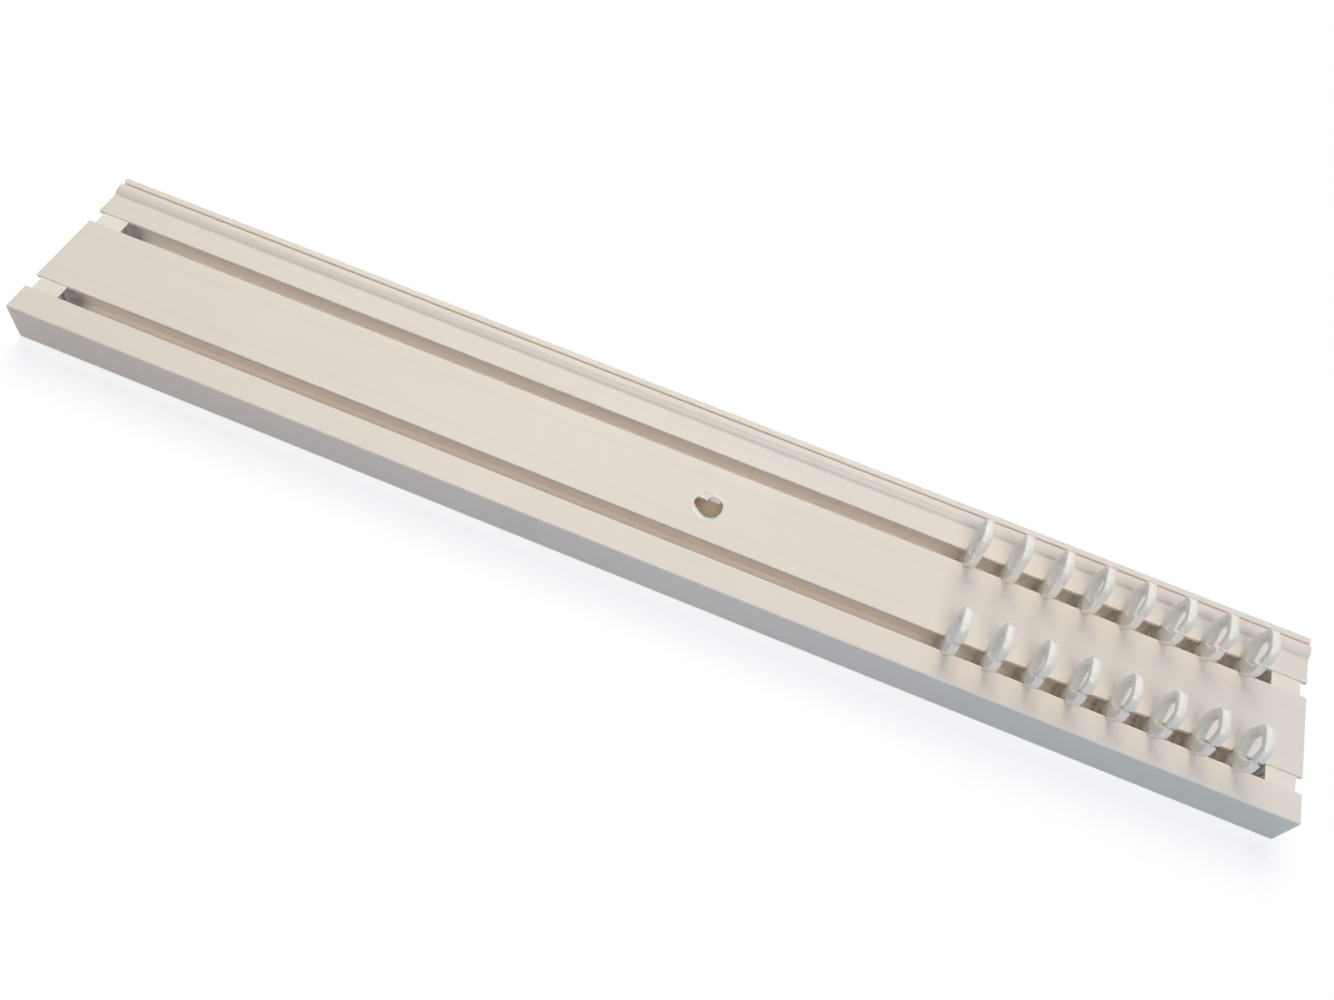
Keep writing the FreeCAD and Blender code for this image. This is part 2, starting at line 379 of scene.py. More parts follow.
begin_editing(rail)
deleted = pick(rail, "FACE", is_hollow)
bpy.ops.mesh.delete(type="FACE")
bpy.ops.mesh.select_all(action="SELECT")
bpy.ops.mesh.dissolve_limited(angle_limit=ALMOST_FLAT)
end_editing()
print("Hollow cells deleted:", deleted, "corners left:", len(rail.data.vertices))

# %% [markdown]
# The bead leans back from the face before it rounds over, so its front corner is moved back first.
# Then the section is drawn out along X. The die's own corners are rounded, each by its radius. A
# bevel on the long edges does that with true arcs, which a bevel on all edges at once couldn't,
# because the radii differ. A saw cuts the rail to length, and the edges of that cut are broken by a
# very small flat.

# %% Draw the section out and round its long edges
BEAD_SLOPE = math.radians(56)
EDGE_ROUND = 0.6 * MM
LIP_ROUND = 0.35 * MM
BEAD_ROUND = 3.2 * MM
BEAD_FOOT_ROUND = 0.3 * MM
GROOVE_EDGE_ROUND = 0.3 * MM
OUTER_LIP_ROUND = 1.0 * MM
SMALL_ROUND_STEPS = 4
BEAD_ROUND_STEPS = 12

rail_length = rail_high.x - rail_low.x
bead_rise = rail_high.z - FACE_HEIGHT
bead_crest = bead_foot + bead_rise / math.tan(BEAD_SLOPE)
bead_setback = BEAD_ROUND * math.tan(BEAD_SLOPE / 2)


def stands_at(vertex, place):
    """Whether a vertex is at a (y, z) place of the section."""
    return (vertex.co.yz - Vector(place)).length < SAME_PLACE


def round_long_edges(places, setback, steps):
    """Round the edges that run along the rail at these places of the section."""
    def runs_along(edge):
        return any(all(stands_at(vertex, place) for vertex in edge.verts) for place in places)
    count = pick(rail, "EDGE", runs_along)
    bpy.ops.mesh.bevel(offset=setback, segments=steps, affect="EDGES")
    print("Rounded", count, "edges by", round(setback / MM, 2), "mm")


begin_editing(rail)
pick(rail, "VERT", lambda vertex: stands_at(vertex, (bead_foot, rail_high.z)))
bpy.ops.transform.translate(value=(0, bead_crest - bead_foot, 0))
bpy.ops.mesh.select_all(action="SELECT")
bpy.ops.mesh.extrude_region_move(TRANSFORM_OT_translate={"value": (rail_length, 0, 0)})
bpy.ops.mesh.select_all(action="SELECT")
bpy.ops.mesh.normals_make_consistent(inside=False)

outer_corners = [(rail_low.y, rail_low.z), (rail_high.y, rail_low.z), (rail_low.y, FACE_HEIGHT)]
slot_corners = [(edge, FACE_HEIGHT) for slot in slots for edge in slot]
groove_corners = [(groove_far, outer_lip_top), (groove_near, rail_high.z)]
round_long_edges(outer_corners, EDGE_ROUND, SMALL_ROUND_STEPS)
round_long_edges(slot_corners, LIP_ROUND, SMALL_ROUND_STEPS)
round_long_edges([(rail_high.y, outer_lip_top)], OUTER_LIP_ROUND, SMALL_ROUND_STEPS)
round_long_edges(groove_corners, GROOVE_EDGE_ROUND, SMALL_ROUND_STEPS)
round_long_edges([(bead_foot, FACE_HEIGHT)], BEAD_FOOT_ROUND, SMALL_ROUND_STEPS)
round_long_edges([(bead_crest, rail_high.z)], bead_setback, BEAD_ROUND_STEPS)
end_editing()
print("Rail faces:", len(rail.data.polygons), "size in mm:", in_mm(rail.dimensions))

# %% Break the edges of the saw cuts
SAW_FLAT = 0.08 * MM
FACES_ALONG = 0.9


def borders_saw_cut(edge):
    """Whether an edge lies between a sawn end and a wall."""
    along = [abs(face.normal.x) > FACES_ALONG for face in edge.link_faces]
    return any(along) and not all(along)


begin_editing(rail)
broken = pick(rail, "EDGE", borders_saw_cut)
bpy.ops.mesh.bevel(offset=SAW_FLAT, segments=1, affect="EDGES")
end_editing()
print("Broken edges:", broken, "rail faces:", len(rail.data.polygons))

# %% [markdown]
# Near the middle of the rail, a large hole in the face gives access to a small fixing hole in the
# back. Both were drilled by hand. The drill was pushed sideways, so the large hole is out of round,
# and it caught at the end: it left a flap of the face standing on one side and tore a slanted ledge
# on the other. The holes are cut with a boolean. The flap and the ledge are first cut out of the
# drill's own block, so the face stays in one piece there, as it did on the real rail. A boolean
# leaves long thin faces where a hole meets a long wall, so the rail is first cut across on both
# sides of the fixing, which gives the holes a short piece of wall of their own.


# %% Helpers that cut
def apply_modifier(piece, name, kind, **settings):
    """Give a piece a modifier and apply it."""
    select_alone(piece)
    modifier = piece.modifiers.new(name, kind)
    for setting, value in settings.items():
        setattr(modifier, setting, value)
    bpy.ops.object.modifier_apply(modifier=modifier.name)


def carve(piece, cutter):
    """Cut one closed mesh out of another and throw the cutter away."""
    apply_modifier(piece, "carve", "BOOLEAN", object=cutter, operation="DIFFERENCE", solver="MANIFOLD")
    bpy.data.objects.remove(cutter)


# %% A hand drill
DRILL_STEPS = 64
WOBBLE_SEED = 7
DRILL_PUSHES = [(178, 0.09, 16), (235, -0.15, 4), (31, 0.07, 24)]

fixing = next(mount for mount in frame["record"]["mounts"] if mount["name"] == "screw_hole")
fixing_x, fixing_y = fixing["pos_m"][:2]
print("Fixing in mm:", in_mm((fixing_x, fixing_y)))


def split_into_triangles():
    """In edit mode, split all faces into triangles, which stay flat when their corners are shaken."""
    bpy.ops.mesh.select_all(action="SELECT")
    bpy.ops.mesh.quads_convert_to_tris()


def drill(radius, middle_height, depth, wobble):
    """A cutter as a hand drill leaves it: a cylinder with shaken sides."""
    bpy.ops.object.select_all(action="DESELECT")
    bpy.ops.mesh.primitive_cylinder_add(
        vertices=DRILL_STEPS, radius=radius, depth=depth, location=(fixing_x, fixing_y, middle_height))
    bpy.ops.object.transform_apply(location=True, rotation=True, scale=True)
    cutter = bpy.context.active_object
    begin_editing(cutter)
    pick(cutter, "EDGE", lambda edge: abs(edge.verts[0].co.z - edge.verts[1].co.z) > SAME_PLACE)
    bpy.ops.transform.vertex_random(offset=wobble, uniform=0, normal=1, seed=WOBBLE_SEED)
    split_into_triangles()
    end_editing()
    return cutter


def push_out_of_round(piece):
    """Move a round piece's points by pushes of (direction in degrees, share, narrowness)."""
    middle = Vector((fixing_x, fixing_y))
    for vertex in piece.data.vertices:
        offset = vertex.co.xy - middle
        direction = math.atan2(offset.y, offset.x)
        share = 0
        for towards, push, narrowness in DRILL_PUSHES:
            share += push * max(0, math.cos(direction - math.radians(towards))) ** narrowness
        vertex.co.xy += offset * share


# %% Drill the fixing
ACCESS_RADIUS = 4.9 * MM
DRILL_WOBBLE = 0.08 * MM
PATCH_REACH = 8.0 * MM

fixing_radius = fixing["dims"]["r_mm"] * MM
begin_editing(rail)
for place in (fixing_x - PATCH_REACH, fixing_x + PATCH_REACH):
    bpy.ops.mesh.select_all(action="SELECT")
    bpy.ops.mesh.bisect(plane_co=(place, 0, 0), plane_no=(1, 0, 0), threshold=SAME_PLACE)
end_editing()
carve(rail, drill(fixing_radius, BACK_WALL / 2, 2 * BACK_WALL, 0))
access_cutter = drill(ACCESS_RADIUS, FACE_HEIGHT - FACE_WALL / 2, 2 * FACE_WALL, DRILL_WOBBLE)
push_out_of_round(access_cutter)
print("Rail faces:", len(rail.data.polygons), "cutter faces:", len(access_cutter.data.polygons))

# %% A torn flap of the face
FLAP_EDGE = 2.4 * MM
FLAP_TIP = -1.1 * MM
FLAP_ROOT = 0.2 * MM
FLAP_TIP_ROUND = 0.6 * MM
FLAP_TIP_STEPS = 4
FLAP_THICKNESS = 0.9 * MM
TEAR_MARGIN = 1.0 * MM
TEAR_CUTS = 5
TEAR_WOBBLE = 0.12 * MM
FACES_THAT_WAY = 0.3

tear_end = fixing_y + ACCESS_RADIUS + TEAR_MARGIN


def add_block(name, low, high):
    """A block between two corners, with its place in its mesh."""
    bpy.ops.object.select_all(action="DESELECT")
    bpy.ops.mesh.primitive_cube_add(size=1, location=(low + high) / 2)
    block = bpy.context.active_object
    block.name = name
    block.scale = high - low
    bpy.ops.object.transform_apply(location=True, rotation=True, scale=True)
    return block


def roughen(piece, torn):
    """Shake the faces of a torn piece that torn() accepts."""
    pick(piece, "FACE", torn)
    bpy.ops.mesh.subdivide(number_cuts=TEAR_CUTS)
    bpy.ops.transform.vertex_random(offset=TEAR_WOBBLE, uniform=0, normal=1, seed=WOBBLE_SEED)
    split_into_triangles()


def torn_flap():
    """The part of the face left standing, with a slanted torn side and a rounded loose corner."""
    left = fixing_x - ACCESS_RADIUS - TEAR_MARGIN
    low = Vector((left, fixing_y + FLAP_EDGE, FACE_HEIGHT - FLAP_THICKNESS))
    high = Vector((fixing_x + FLAP_TIP, tear_end, FACE_HEIGHT + FACE_WALL))
    slant = (FLAP_ROOT - FLAP_TIP) / (ACCESS_RADIUS - FLAP_EDGE) * (high.y - low.y)
    flap = add_block("torn_flap", low, high)

    def at_right(vertex):
        return vertex.co.x > high.x - SAME_PLACE

    def at_front(vertex):
        return vertex.co.y < low.y + SAME_PLACE

    begin_editing(flap)
    pick(flap, "VERT", lambda vertex: at_right(vertex) and not at_front(vertex))
    bpy.ops.transform.translate(value=(slant, 0, 0))
    pick(flap, "EDGE", lambda edge: all(at_right(vertex) and at_front(vertex) for vertex in edge.verts))
    bpy.ops.mesh.bevel(offset=FLAP_TIP_ROUND, segments=FLAP_TIP_STEPS, affect="EDGES")
    roughen(flap, lambda face: face.normal.x > FACES_THAT_WAY or face.normal.y < -FACES_THAT_WAY)
    end_editing()
    return flap


flap = torn_flap()
print("Flap faces:", len(flap.data.polygons))

# %% A slanted torn ledge
LEDGE_LEFT = -0.8 * MM
LEDGE_RIGHT = 3.2 * MM
LEDGE_EDGE = 4.4 * MM
LEDGE_SLOPE = math.radians(49)
LEDGE_DEPTH = 2.5 * MM


def torn_ledge():
    """The part of the hole's far wall that tore at a slant, with its lower edge standing out."""
    bottom = FACE_HEIGHT - LEDGE_DEPTH
    top = FACE_HEIGHT + FACE_WALL
    front = fixing_y + LEDGE_EDGE - (FACE_HEIGHT - bottom) / math.tan(LEDGE_SLOPE)
    low = Vector((fixing_x + LEDGE_LEFT, front, bottom))
    high = Vector((fixing_x + LEDGE_RIGHT, tear_end, top))
    ledge = add_block("torn_ledge", low, high)
    begin_editing(ledge)
    pick(ledge, "VERT", lambda vertex: (
        vertex.co.y < front + SAME_PLACE and vertex.co.z > top - SAME_PLACE))
    bpy.ops.transform.translate(value=(0, (top - bottom) / math.tan(LEDGE_SLOPE), 0))
    roughen(ledge, lambda face: face.normal.y < -FACES_THAT_WAY)
    end_editing()
    return ledge


ledge = torn_ledge()
print("Ledge faces:", len(ledge.data.polygons))

# %% Cut the access hole round the flap and the ledge
carve(access_cutter, flap)
carve(access_cutter, ledge)
carve(rail, access_cutter)
begin_editing(rail)
bpy.ops.mesh.select_all(action="SELECT")
bpy.ops.mesh.remove_doubles(threshold=SAME_PLACE)
bpy.ops.mesh.dissolve_degenerate(threshold=SAME_PLACE)
open_edges = pick(rail, "EDGE", lambda edge: not edge.is_manifold)
end_editing()
print("Rail faces:", len(rail.data.polygons), "open edges:", open_edges)

# %% [markdown]
# The drill pushed up a thin ring of plastic round the rest of the rim. It is a torus, flattened,
# with its points shaken by a fixed seed and the part under the flap taken out. Sculpting could make
# it too, but the seed gives the same ring on every run. Two shreds stand up at the flap: its loose
# corner and a crumb behind the rim. A shred starts as a small block, and its front face is drawn
# out step by step, each time narrower and higher. A subdivision surface then makes it a soft torn
# shape.

# %% Raise the torn rim
RIM_WIDTH = 0.55 * MM
RIM_STEPS = 10
RIM_FLATNESS = 0.65
RIM_WOBBLE = 0.06 * MM
RIM_GAP = (math.radians(87), math.radians(149))

bpy.ops.object.select_all(action="DESELECT")
bpy.ops.mesh.primitive_torus_add(
    major_segments=DRILL_STEPS, minor_segments=RIM_STEPS, major_radius=ACCESS_RADIUS + RIM_WIDTH / 4,
    minor_radius=RIM_WIDTH / 2, location=(fixing_x, fixing_y, FACE_HEIGHT))
rim = bpy.context.active_object
rim.name = "drilled_rim"
rim.scale.z = RIM_FLATNESS
bpy.ops.object.transform_apply(location=True, rotation=True, scale=True)
push_out_of_round(rim)


def under_flap(vertex):
    """Whether a point of the rim is where the flap stands."""
    offset = vertex.co.xy - Vector((fixing_x, fixing_y))
    return inside(math.atan2(offset.y, offset.x), RIM_GAP)


begin_editing(rim)
bpy.ops.mesh.select_all(action="SELECT")
bpy.ops.transform.vertex_random(offset=RIM_WOBBLE, uniform=1, normal=0, seed=WOBBLE_SEED)
pick(rim, "VERT", under_flap)
bpy.ops.mesh.delete(type="VERT")
bpy.ops.mesh.select_all(action="SELECT")
bpy.ops.mesh.fill_holes(sides=0)
end_editing()
rim_rise = max(vertex.co.z for vertex in rim.data.vertices) - FACE_HEIGHT
print("Rim height above the face in mm:", round(rim_rise / MM, 2))

# %% Pull up the shreds
SHRED_SINK = 0.25 * MM
SHRED_RISE = 0.15 * MM
SHRED_LEVELS = 2
TIP_PLACE = (-1.35 * MM, 2.7 * MM)
TIP_SIZE = (1.3 * MM, 0.9 * MM)
TIP_STEPS = [(0.45, 0.15, 0.85), (0.4, 0.25, 0.75), (0.25, 0.3, 0.6)]
CRUMB_PLACE = (-2.4 * MM, 4.7 * MM)
CRUMB_SIZE = (1.0 * MM, 0.7 * MM)
CRUMB_STEPS = [(0.25, 0.02, 0.85), (0.15, -0.05, 0.6)]


def pull_shred(name, place, size, steps):
    """A shred of torn plastic, with steps of (reach, lift, taper) for its front face."""
    left = fixing_x + place[0] - size[0] / 2
    front = fixing_y + place[1]
    low = Vector((left, front, FACE_HEIGHT - SHRED_SINK))
    high = Vector((left + size[0], front + size[1], FACE_HEIGHT + SHRED_RISE))
    shred = add_block(name, low, high)
    begin_editing(shred)
    pick(shred, "FACE", lambda face: face.normal.y < -FACES_THAT_WAY)
    for reach, lift, taper in steps:
        bpy.ops.mesh.extrude_region_move(TRANSFORM_OT_translate={"value": (0, -reach * MM, lift * MM)})
        edited = bmesh.from_edit_mesh(shred.data)
        middle = next(face for face in edited.faces if face.select).calc_center_median()
        bpy.ops.transform.resize(value=(taper, 1, taper), center_override=middle)
    end_editing()
    apply_modifier(shred, "soften", "SUBSURF", levels=SHRED_LEVELS, render_levels=SHRED_LEVELS)
    print(name, "faces:", len(shred.data.polygons))
    return shred


torn_tip = pull_shred("torn_tip", TIP_PLACE, TIP_SIZE, TIP_STEPS)
torn_crumb = pull_shred("torn_crumb", CRUMB_PLACE, CRUMB_SIZE, CRUMB_STEPS)

# %% [markdown]
# A hook is one flat moulding: a forked head that runs in the channel, a neck in the slot, and a
# loop with a slanted mouth that the curtain's tape is pushed into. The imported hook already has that
# outline, so a copy of it is merged and its flat sides are cleaned. Every edge gets the small
# radius that lets a moulding leave its mould. The two halves of the mould met half way through its
# thickness and left a fine ridge there. The skin is first drawn in by a little more than the
# ridge's height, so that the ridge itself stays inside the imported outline.

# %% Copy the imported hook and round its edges
HOOK_ROUND = 0.45 * MM
HOOK_ROUND_STEPS = 3
SHARP = math.radians(30)
MERGE = 0.001 * MM
FLAT = math.radians(0.5)


def merged_copy(node, name):
    """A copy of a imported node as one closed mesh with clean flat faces."""
    piece = bpy.data.objects.new(name, frame["nodes"][node].data.copy())
    scene.collection.objects.link(piece)
    piece.data.materials.clear()
    select_alone(piece)
    bpy.ops.mesh.customdata_custom_splitnormals_clear()
    begin_editing(piece)
    bpy.ops.mesh.select_all(action="SELECT")
    bpy.ops.mesh.remove_doubles(threshold=MERGE)
    bpy.ops.mesh.dissolve_limited(angle_limit=FLAT)
    end_editing()
    return piece


def round_edges(piece, radius, steps):
    """Round all the sharp edges of a piece."""
    apply_modifier(
        piece, "round", "BEVEL", width=radius, segments=steps, limit_method="ANGLE", angle_limit=SHARP)


hook = merged_copy("hook_front_1", "curtain_hook_front_1")
round_edges(hook, HOOK_ROUND, HOOK_ROUND_STEPS)
print("Hook faces:", len(hook.data.polygons))

# %% Raise the mould's ridge
SKIN_DRAWN_IN = 0.08 * MM
RIDGE_RISE = 0.07 * MM
RIDGE_WIDTH = 0.16 * MM
RIDGE_STEPS = 2

hook_low, hook_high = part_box("hook_front_1")
mould_line = (hook_low.x + hook_high.x) / 2


def on_mould_line(vertex):
    """Whether a vertex lies where the two halves of the mould met."""
    return abs(vertex.co.x - mould_line) < SAME_PLACE


begin_editing(hook)
bpy.ops.mesh.select_all(action="SELECT")
bpy.ops.transform.shrink_fatten(value=-SKIN_DRAWN_IN)
bpy.ops.mesh.bisect(plane_co=(mould_line, 0, 0), plane_no=(1, 0, 0), threshold=SAME_PLACE)
pick(hook, "EDGE", lambda edge: all(on_mould_line(vertex) for vertex in edge.verts))
bpy.ops.mesh.bevel(offset=RIDGE_WIDTH, segments=RIDGE_STEPS, affect="EDGES")
ridge_points = pick(hook, "VERT", on_mould_line)
bpy.ops.transform.shrink_fatten(value=RIDGE_RISE)
end_editing()
print("Ridge points:", ridge_points, "hook faces:", len(hook.data.polygons))

# %% [markdown]
# Pins push a moulding out of its mould, and each leaves a shallow round dent. This hook has three
# on one flat side: one in each prong of the fork and one at the foot of the loop. They are cut with
# short cylinders, because a bump in the material would be missing from the exported mesh. Deep
# dents would weaken such a thin piece, so they are only a tenth of a millimetre deep.

# %% Press in the pin marks
PIN_RADIUS = 0.85 * MM
PIN_DEPTH = 0.1 * MM
PIN_STEPS = 24
PIN_PLACES = [(-4.4 * MM, 9.6 * MM), (4.4 * MM, 9.6 * MM), (0.0, 17.9 * MM)]


def smooth(piece, angle):
    """Shade a piece smooth across edges flatter than an angle, with large faces staying flat."""
    select_alone(piece)
    bpy.ops.object.shade_smooth_by_angle(angle=angle)
    apply_modifier(piece, "flat faces", "WEIGHTED_NORMAL", keep_sharp=True)


for offset, height in PIN_PLACES:
    pin_place = (hook_low.x + SKIN_DRAWN_IN, FRONT_SLOT + offset, height)
    bpy.ops.object.select_all(action="DESELECT")
    bpy.ops.mesh.primitive_cylinder_add(
        vertices=PIN_STEPS, radius=PIN_RADIUS, depth=2 * PIN_DEPTH, location=pin_place,
        rotation=(0, math.pi / 2, 0))
    carve(hook, bpy.context.active_object)
smooth(hook, SHARP)
print("Hook faces:", len(hook.data.polygons), "size in mm:", in_mm(hook.dimensions))

# %% [markdown]
# The stops are short blocks pressed into the ends of the channels. A saw cut lets their two legs
# spring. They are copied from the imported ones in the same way, with a smaller radius on their
# edges.

# %% Make one stop
STOP_ROUND = 0.25 * MM
STOP_ROUND_STEPS = 3

stop = merged_copy("stop_front_left", "end_stop_front_left")
round_edges(stop, STOP_ROUND, STOP_ROUND_STEPS)
smooth(stop, SHARP)
print("Stop faces:", len(stop.data.polygons))

# %% [markdown]
# All the hooks came out of one mould, and all the stops out of another, so each is modelled once
# and copied. A copy has its own mesh, and that mesh is moved by the distance between the two packed
# nodes, so its object stays at the origin.


# %% Copy the hook and the stop to every place
def copies(first, first_node, family, prefix):
    """The first piece and a copy for each other node of its family, by node name."""
    made = {first_node: first}
    for node in frame["nodes"]:
        if node.startswith(family) and node != first_node:
            piece = bpy.data.objects.new(prefix + node.removeprefix(family), first.data.copy())
            piece.data.transform(Matrix.Translation(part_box(node)[0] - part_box(first_node)[0]))
            scene.collection.objects.link(piece)
            made[node] = piece
    return made


hooks = copies(hook, "hook_front_1", "hook_", "curtain_hook_")
stops = copies(stop, "stop_front_left", "stop_", "end_stop_")
print("Hooks:", len(hooks), "stops:", len(stops))

# %% [markdown]
# The plastics are built from the same few nodes: noise stretched along an axis, a range taken to
# another range, and a mix of two colours. Images would need a map of each piece. Noise on Object
# coordinates needs none, and its scale is in metres on every piece.

# %% Helpers for patterns
NOISE_DETAIL = 2.0


def stretch(tree, scale, turn=(0, 0, 0)):
    """Object coordinates, turned and scaled along each axis."""
    place = add_node(tree, "ShaderNodeTexCoord").outputs["Object"]
    mapping = add_node(tree, "ShaderNodeMapping")
    feed(tree, mapping.inputs["Vector"], place)
    mapping.inputs["Rotation"].default_value = turn
    mapping.inputs["Scale"].default_value = scale
    return mapping.outputs["Vector"]


def noise(tree, vector, scale=1.0, detail=NOISE_DETAIL):
    """A noise value."""
    node = add_node(tree, "ShaderNodeTexNoise")
    feed(tree, node.inputs["Vector"], vector)
    feed(tree, node.inputs["Scale"], scale)
    node.inputs["Detail"].default_value = detail
    return node.outputs["Fac"]


def ramp(tree, value, start, end, low=0.0, high=1.0):
    """A value taken from one range to another, and held inside it."""
    node = add_node(tree, "ShaderNodeMapRange")
    feed(tree, node.inputs["Value"], value)
    feed(tree, node.inputs["From Min"], start)
    feed(tree, node.inputs["From Max"], end)
    feed(tree, node.inputs["To Min"], low)
    feed(tree, node.inputs["To Max"], high)
    return node.outputs["Result"]


def mix_colours(tree, share, first, second):
    """A mix of two colours."""
    node = add_node(tree, "ShaderNodeMix", data_type="RGBA")
    feed(tree, node.inputs["Factor"], share)
    feed(tree, node.inputs["A"], first)
    feed(tree, node.inputs["B"], second)
    return node.outputs["Result"]


# %% [markdown]
# All three plastics have been handled. White plastic is never quite even: it is a little cloudier
# in some places, and fingers and sliding leave faint rubbed strokes that are rougher than the rest.
# The nodes for this could be built again in each material. One node group keeps them alike, and is
# placed in each material with its own scale and colours.

# %% A group for handled plastic
EVEN = (1, 1, 1)
CLOUD_DETAIL = 3
CLOUD_RANGE = (0.38, 0.62)
STROKE_STRETCH = (0.35, 2.2, 2.2)
STROKE_TURN = (0.3, 0.2, 0.6)
STROKE_DETAIL = 4
STROKE_RANGE = (0.60, 0.74)


def new_group(name, inputs, outputs):
    """An empty node group with its sockets, and the sockets inside it."""
    group = bpy.data.node_groups.new(name, "ShaderNodeTree")
    for label, kind in inputs:
        group.interface.new_socket(label, in_out="INPUT", socket_type=kind)
    for label, kind in outputs:
        group.interface.new_socket(label, in_out="OUTPUT", socket_type=kind)
    start = add_node(group, "NodeGroupInput")
    end = add_node(group, "NodeGroupOutput")
    return group, start.outputs, end.inputs


handled, handled_in, handled_out = new_group(
    "handled_plastic",
    [("Clear", "NodeSocketColor"), ("Cloudy", "NodeSocketColor"), ("Cloud Scale", "NodeSocketFloat"),
     ("Stroke Scale", "NodeSocketFloat"), ("Smooth", "NodeSocketFloat"), ("Rubbed", "NodeSocketFloat")],
    [("Colour", "NodeSocketColor"), ("Roughness", "NodeSocketFloat")])
clouds = noise(handled, stretch(handled, EVEN), handled_in["Cloud Scale"], CLOUD_DETAIL)
cloudy = ramp(handled, clouds, *CLOUD_RANGE)
stroke_place = stretch(handled, STROKE_STRETCH, STROKE_TURN)
strokes = noise(handled, stroke_place, handled_in["Stroke Scale"], STROKE_DETAIL)
rubbed = ramp(handled, strokes, *STROKE_RANGE, handled_in["Smooth"], handled_in["Rubbed"])
cloud_colour = mix_colours(handled, cloudy, handled_in["Clear"], handled_in["Cloudy"])
feed(handled, handled_out["Colour"], cloud_colour)
feed(handled, handled_out["Roughness"], rubbed)
print("Group", handled.name, "has", len(handled.nodes), "nodes")

# %% [markdown]
# The rail is a cream white plastic with a satin skin. Its face is written warmer towards one end, as
# painted warm light, and its front side goes from painted warm light at one end to painted cool light
# at the other. The die leaves fine lines all along. The face would sink slightly over each inner wall,
# because the plastic there is thicker and shrinks more, and a soft line of painted shade stands for
# that sink. Round the drilled hole the strained plastic has turned whiter, and the sawn ends are rough.
# Daylight shines through the thin walls, which makes the inside of the channels look bright, so the
# walls inside are painted paler there as painted light, palest in the rear channel and warmer in the
# closed middle chamber. Letting more light through the whole rail would dull its face instead. All of
# this could be painted on the mesh, but masks worked out from the place on the rail stay sharp at any
# size. Colours are written as screen levels from 0 to 255, as a colour picker shows them, and turned
# into the linear values that shaders use.

# %% The rail's colours, with painted warm and cool light
SCREEN_WHITE = 255


def from_screen(*levels):
    """A colour written as screen levels from 0 to 255, in linear values."""
    linear = Color([level / SCREEN_WHITE for level in levels]).from_srgb_to_scene_linear()
    return (*linear, 1.0)


RAIL_CLEAR = from_screen(225, 217, 208)
RAIL_CLOUDY = from_screen(223, 214, 204)
# The face's warm end is painted warm light, strongest at the left end.
RAIL_PAINTED_WARM_LIGHT = from_screen(220, 210, 195)
RAIL_PAINTED_WARM_SHARE = 0.7
# The front side's warm and cool ends are painted warm and cool light.
SIDE_PAINTED_WARM_LIGHT = from_screen(218, 203, 184)
SIDE_PLAIN = from_screen(223, 215, 205)
SIDE_PAINTED_COOL_LIGHT = from_screen(210, 213, 204)
SIDE_PLAIN_AT = 30 * MM
print("Clear plastic in linear values:", [round(part, 3) for part in RAIL_CLEAR])


def side_painted_light(tree, x):
    """The front side's colour, with painted warm light at the left end and painted cool light at the
    right end.
    """
    warm_to_plain = ramp(tree, x, rail_low.x, SIDE_PLAIN_AT)
    plain_to_cool = ramp(tree, x, SIDE_PLAIN_AT, rail_high.x)
    left_part = mix_colours(tree, warm_to_plain, SIDE_PAINTED_WARM_LIGHT, SIDE_PLAIN)
    return mix_colours(tree, plain_to_cool, left_part, SIDE_PAINTED_COOL_LIGHT)


# %% Painted shade along sink lines over the inner walls
SINK_WIDTH = 0.45 * MM
SINK_SHADE = 0.035

webs = [(first[1] + second[0]) / 2 for first, second in zip(hollows, hollows[1:])]
print("Sink lines at y in mm:", in_mm(webs))


def painted_sink_shade(tree, y):
    """A soft line of painted shade over each inner wall, where the face would sink."""
    lines = 0.0
    for web in webs:
        offset = maths(tree, "DIVIDE", maths(tree, "SUBTRACT", y, web), SINK_WIDTH)
        fall = maths(tree, "MULTIPLY", maths(tree, "MULTIPLY", offset, offset), -1.0)
        lines = maths(tree, "ADD", maths(tree, "EXPONENT", fall), lines)
    return lines


# %% Whiter plastic round the drilled hole
STRAINED = from_screen(252, 242, 227)
STRAINED_END = 5.9 * MM
STRAINED_SHARE = 0.9
LEDGE_SHARE = 0.35
LEDGE_FADE = 0.8 * MM
STRAINED_FLAP = 0.8 * MM


def strained_ring(tree, x, y, z):
    """The plastic of the face round the drilled hole and along the edge of its flap."""
    along = maths(tree, "SUBTRACT", x, fixing_x)
    aside = maths(tree, "SUBTRACT", y, fixing_y)
    along_square = maths(tree, "MULTIPLY", along, along)
    aside_square = maths(tree, "MULTIPLY", aside, aside)
    reach = maths(tree, "SQRT", maths(tree, "ADD", along_square, aside_square))
    outside = ramp(tree, reach, STRAINED_END, ACCESS_RADIUS, 0.0, STRAINED_SHARE)
    ledge = ramp(tree, reach, ACCESS_RADIUS - LEDGE_FADE, ACCESS_RADIUS, LEDGE_SHARE, STRAINED_SHARE)
    ring = maths(tree, "MINIMUM", outside, ledge)
    flap_end = FLAP_EDGE + STRAINED_FLAP
    flap_edge = ramp(tree, aside, flap_end, FLAP_EDGE, 0.0, STRAINED_SHARE)
    past_edge = maths(tree, "GREATER_THAN", aside, FLAP_EDGE)
    on_flap = maths(tree, "MULTIPLY", past_edge, maths(tree, "LESS_THAN", along, FLAP_ROOT))
    flap_share = maths(tree, "MULTIPLY", on_flap, maths(tree, "MINIMUM", outside, flap_edge))
    ring_share = maths(tree, "MULTIPLY", maths(tree, "SUBTRACT", 1.0, on_flap), ring)
    on_face = maths(tree, "GREATER_THAN", z, lip_underside)
    return maths(tree, "MULTIPLY", on_face, maths(tree, "ADD", flap_share, ring_share))


